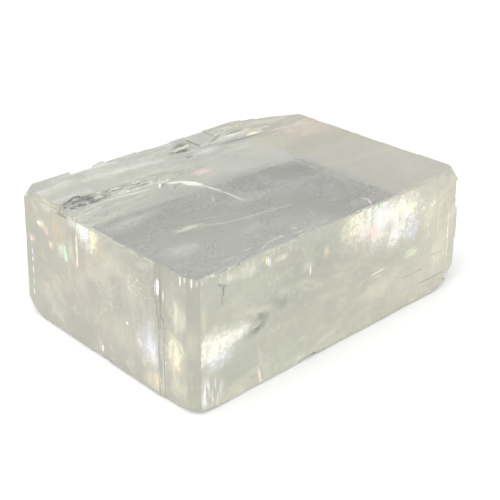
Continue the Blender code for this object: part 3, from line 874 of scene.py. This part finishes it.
def add_ribbon(builder, corners, width, draw):
    """A crack, a painted shadow line or a painted glint: a thin, ragged strip through corners given as (face,
    a, b, depth), widest in its middle.
    """
    points = [Vector(on_face(*corner)) for corner in corners]
    steps = []
    for start, end in zip(points, points[1:]):
        count = max(2, round((end - start).length / CRACK_STEP))
        steps += [start.lerp(end, i / count) for i in range(count)]
    steps.append(points[-1])
    face = corners[0][0]
    normal = {TOP: Vector((0, 0, 1)), LEFT: Vector((1, 0, 0)), FRONT: Vector((0, 1, 0))}[face]
    rims = []
    for i, step in enumerate(steps):
        before, after = steps[max(i - 1, 0)], steps[min(i + 1, len(steps) - 1)]
        across = (after - before).cross(normal).normalized()
        share = i / (len(steps) - 1)
        half = 0.5 * width * (0.25 + 0.75 * math.sin(math.pi * share) ** 0.6) * draw.uniform(0.55, 1.25)
        middle = step + across * draw.uniform(-0.12, 0.12) * width
        ends = (middle - across * half, middle + across * half)
        rims.append([builder.verts.new(at(*end)) for end in ends])
    for (a, b), (c, d) in zip(rims, rims[1:]):
        builder.faces.new((a, b, d, c))


def add_sheet(builder, origin, side_a, side_b, seed):
    """A fracture inside the block: a rippled sheet with a ragged outline, between crystal places."""
    origin, side_a, side_b = Vector(origin), Vector(side_a), Vector(side_b)
    across = side_a.cross(side_b).normalized()
    count_a, count_b = SHEET_CELLS
    rows = []
    for j in range(count_b + 1):
        row = []
        for i in range(count_a + 1):
            a, b = i / count_a, j / count_b
            spot = origin + side_a * a + side_b * b
            ripple = noise.fractal(spot * 0.16 + Vector((seed, 0, 0)), 0.8, 2.0, 4) * SHEET_RIPPLE
            row.append(spot + across * ripple)
        rows.append(row)
    verts = {}

    def vert(i, j):
        if (i, j) not in verts:
            verts[(i, j)] = builder.verts.new(at(*rows[j][i]))
        return verts[(i, j)]

    for j in range(count_b):
        for i in range(count_a):
            a, b = 2.0 * (i + 0.5) / count_a - 1.0, 2.0 * (j + 0.5) / count_b - 1.0
            ragged = 0.28 * noise.noise(Vector((a * 2.2, b * 2.2, seed)))
            if math.hypot(a, b) + ragged < 0.92:
                builder.faces.new((vert(i, j), vert(i + 1, j), vert(i + 1, j + 1), vert(i, j + 1)))


def thin_piece(name, material, fill):
    """One mesh for all the thin shapes of a kind, drawn by fill."""
    builder = bmesh.new()
    fill(builder)
    mesh = bpy.data.meshes.new(name)
    builder.to_mesh(mesh)
    builder.free()
    mesh.materials.append(material)
    piece = bpy.data.objects.new(name, mesh)
    bpy.context.scene.collection.objects.link(piece)
    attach(piece, "root")
    return piece


def add_cracks():
    """The cracks that show in the photograph, with a few painted shadow lines and glints among them, by
    colour: corners as (face, a, b, depth), and a width.
    """
    white = [
        (((TOP, 23.5, 37.4, 0.3), (TOP, 27.2, 36.0, 0.3), (TOP, 29.3, 29.7, 0.3)), 1.5),
        (((TOP, 28.9, 31.5, 0.3), (TOP, 30.3, 25.6, 0.3), (TOP, 30.4, 19.0, 0.3)), 0.55),
        # the hook near the front edge is a small nick, its white a painted glint
        (((TOP, 48.3, 4.3, 0.2), (TOP, 49.0, 2.9, 0.2), (TOP, 47.5, 0.7, 0.2)), 0.7),
        (((TOP, 27.4, 25.9, 0.3), (TOP, 25.4, 23.1, 0.3)), 0.5),
        (((TOP, 32.6, 6.5, 0.3), (TOP, 30.8, 2.0, 0.3)), 0.25),
        (((TOP, 37.1, 7.9, 0.3), (TOP, 35.4, 4.4, 0.3)), 0.2),
        (((FRONT, 56.9, 26.1, 0.4), (FRONT, 57.0, 16.8, 0.4)), 0.3),
        (((FRONT, 69.0, 21.5, 0.6), (FRONT, 69.0, 14.0, 0.6)), 0.5),
        (((FRONT, 24.2, 10.2, 0.4), (FRONT, 31.4, 10.6, 0.4)), 0.25),
        (((LEFT, 19.5, 5.8, 0.3), (LEFT, 17.8, 3.9, 0.3)), 0.25),
    ]
    yellow = [
        (((TOP, 10.7, 18.6, 0.4), (TOP, 22.2, 14.2, 0.4), (TOP, 36.4, 11.9, 0.4)), 0.55),
        (((TOP, 13.0, 18.9, 0.4), (TOP, 16.3, 15.7, 0.4)), 0.9),
        (((TOP, 13.8, 21.1, 0.5), (TOP, 25.9, 16.0, 0.5)), 0.3),
        (((FRONT, 33.5, 23.6, 0.4), (FRONT, 35.9, 19.9, 0.4)), 0.4),
        (((LEFT, 38.0, 20.0, 0.4), (LEFT, 37.4, 11.0, 0.4)), 0.4),
    ]
    dark = [
        # the first three are painted shadow: along the foot of the step and along the ledges near the back
        # edge
        (((TOP, 24.2, 38.9, 0.3), (TOP, 29.0, 39.5, 0.3), (TOP, 33.1, 39.4, 0.3)), 0.45),
        (((TOP, 43.3, 47.5, 0.4), (TOP, 52.0, 46.4, 0.4), (TOP, 64.0, 46.4, 0.4)), 0.28),
        (((TOP, 49.1, 49.7, 0.4), (TOP, 59.9, 52.2, 0.4)), 0.3),
        (((FRONT, 6.6, 25.4, 0.3), (FRONT, 7.3, 23.7, 0.3), (FRONT, 6.8, 21.7, 0.3)), 0.3),
        (((FRONT, 5.5, 25.7, 0.3), (FRONT, 8.1, 24.7, 0.3)), 0.4),
        (((LEFT, 18.1, 10.0, 0.3), (LEFT, 14.0, 5.0, 0.3), (LEFT, 10.0, 0.7, 0.3)), 0.2),
        (((LEFT, 33.8, 17.9, 0.3), (LEFT, 34.6, 8.0, 0.3)), 0.14),
        (((FRONT, 30.0, 15.2, 0.4), (FRONT, 42.0, 17.2, 0.4)), 0.14),
    ]
    rainbow = [
        (((LEFT, 51.6, 17.6, 0.4), (LEFT, 52.2, 10.7, 0.4), (LEFT, 52.4, 3.9, 0.4)), 0.9),
        (((LEFT, 34.3, 19.4, 0.5), (LEFT, 33.4, 13.6, 0.5)), 0.8),
        (((FRONT, 64.0, 23.0, 0.5), (FRONT, 64.6, 14.0, 0.5)), 0.5),
        (((FRONT, 71.2, 24.0, 0.6), (FRONT, 71.0, 12.0, 0.6)), 0.6),
        # this short one near the top of the front is a painted rainbow glint
        (((FRONT, 17.9, 27.7, 0.4), (FRONT, 18.5, 24.8, 0.4)), 0.5),
    ]
    kinds = (
        ("white_cracks_and_glint", white, (WHITE, (0.95, 0.86, 0.84), WHITE), 0.95),
        ("yellow_cracks", yellow, (CREAM, (0.80, 0.84, 0.58), CREAM), 0.85),
        ("dark_cracks_and_ledge_shadows", dark, (COAL, SLATE), 0.75),
        ("rainbow_cracks_and_glint", rainbow, RAINBOW, 0.9),
    )
    for seed, (name, rows, colours, alpha) in enumerate(kinds):
        draw = random.Random(seed)
        material = crack_finish(name, colours, alpha)

        def fill(builder, rows=rows, draw=draw):
            for corners, width in rows:
                add_ribbon(builder, corners, width, draw)

        thin_piece(name, material, fill)


def add_fractures():
    """Healed fractures near the cleavage directions, behind the gleams: origin, two sides and a seed."""
    silky = [
        ((2.5, 28.0, 12.0), (1.0, 11.0, 0.5), (2.5, 1.0, 14.0), 1.3),
        ((3.5, 3.5, 2.0), (10.0, 1.5, 0.0), (1.0, 2.0, 14.0), 2.7),
        ((18.0, 49.0, 17.0), (36.0, 1.5, 0.5), (1.0, 2.5, 9.0), 4.1),
    ]
    rainbow = [
        ((39.0, 2.5, 14.0), (22.0, 1.0, 0.5), (1.0, 2.5, 12.0), 5.2),
        ((1.5, 39.0, 10.0), (1.0, 12.0, 0.5), (2.5, 1.0, 15.0), 6.6),
        ((68.5, 6.0, 8.0), (1.0, 18.0, 1.0), (2.0, 0.5, 15.0), 7.4),
    ]
    for name, rows, colours, alpha in (
        ("silky_fractures", silky, (GLEAM, SILK, GLEAM), 0.34),
        ("rainbow_fractures", rainbow, RAINBOW, 0.42),
    ):

        def fill(builder, rows=rows):
            for row in rows:
                add_sheet(builder, *row)

        thin_piece(name, crack_finish(name, colours, alpha, 0.25), fill)


def add_camera():
    """The camera stands where the block's nearest top corner falls on its pixel."""
    forward = Vector((
        math.cos(VIEW_DOWN) * math.cos(VIEW_HEADING),
        math.cos(VIEW_DOWN) * math.sin(VIEW_HEADING),
        -math.sin(VIEW_DOWN),
    ))
    right = forward.cross(Vector((0.0, 0.0, 1.0))).normalized()
    up = right.cross(forward)
    turned_right = right * math.cos(VIEW_ROLL) + up * math.sin(VIEW_ROLL)
    turned_up = up * math.cos(VIEW_ROLL) - right * math.sin(VIEW_ROLL)
    across = (CORNER_PIXEL[0] - PHOTO_WIDTH / 2) / FOCAL_PIXELS
    above = (PHOTO_WIDTH / 2 - CORNER_PIXEL[1]) / FOCAL_PIXELS
    ray = forward + turned_right * across + turned_up * above
    data = bpy.data.cameras.new("photo_camera")
    data.sensor_width = 36.0
    data.lens = data.sensor_width * FOCAL_PIXELS / PHOTO_WIDTH
    data.clip_start = 0.01
    camera = bpy.data.objects.new("photo_camera", data)
    bpy.context.scene.collection.objects.link(camera)
    turn = Matrix((turned_right, turned_up, -forward)).transposed()
    camera.matrix_world = Matrix.Translation(at(0, 0, UPRIGHT_EDGE) - ray * CORNER_DISTANCE) @ turn.to_4x4()
    bpy.context.scene.camera = camera


def add_floor():
    """A wide white floor, a hair below the base."""
    builder = bmesh.new()
    place = Matrix.Translation((0.0, 0.0, -FLOOR_GAP))
    bmesh.ops.create_grid(builder, x_segments=1, y_segments=1, size=FLOOR_REACH, matrix=place)
    mesh = bpy.data.meshes.new("floor")
    builder.to_mesh(mesh)
    builder.free()
    floor = bpy.data.objects.new("floor", mesh)
    bpy.context.scene.collection.objects.link(floor)
    material = bpy.data.materials.new("floor")
    material.use_nodes = True
    shader = material.node_tree.nodes["Principled BSDF"]
    shader.inputs["Base Color"].default_value = (FLOOR_WHITE, FLOOR_WHITE, FLOOR_WHITE, 1.0)
    shader.inputs["Roughness"].default_value = 0.9
    shader.inputs["Specular IOR Level"].default_value = 0.0
    floor.data.materials.append(material)


def add_world():
    """Soft studio light: bright round the horizon and dimmer overhead."""
    world = bpy.data.worlds.new("studio")
    bpy.context.scene.world = world
    world.use_nodes = True
    nodes, links = world.node_tree.nodes, world.node_tree.links
    coords = nodes.new("ShaderNodeTexCoord")
    split = nodes.new("ShaderNodeSeparateXYZ")
    ramp = nodes.new("ShaderNodeValToRGB")
    links.new(coords.outputs["Generated"], split.inputs[0])
    links.new(split.outputs["Z"], ramp.inputs["Fac"])
    horizon, overhead = ramp.color_ramp.elements
    horizon.color = (HORIZON_LIGHT, HORIZON_LIGHT, HORIZON_LIGHT, 1.0)
    overhead.color = (OVERHEAD_LIGHT, OVERHEAD_LIGHT, OVERHEAD_LIGHT, 1.0)
    links.new(ramp.outputs["Color"], nodes["Background"].inputs["Color"])


def add_softbox():
    """One square light overhead, turned towards the block."""
    data = bpy.data.lights.new("softbox", "AREA")
    data.shape = "SQUARE"
    data.size = SOFTBOX_SIZE
    data.energy = SOFTBOX_POWER
    light = bpy.data.objects.new("softbox", data)
    light.location = SOFTBOX_PLACE
    light.rotation_euler = (-Vector(SOFTBOX_PLACE)).to_track_quat("-Z", "Y").to_euler()
    bpy.context.scene.collection.objects.link(light)


def main():
    block = dressed_block(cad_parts["spar_crystal"])
    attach(block, "root")
    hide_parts("spar_crystal")
    add_cracks()
    add_fractures()
    add_floor()
    add_world()
    add_softbox()
    add_camera()
    bpy.context.scene.view_settings.view_transform = "Standard"


main()
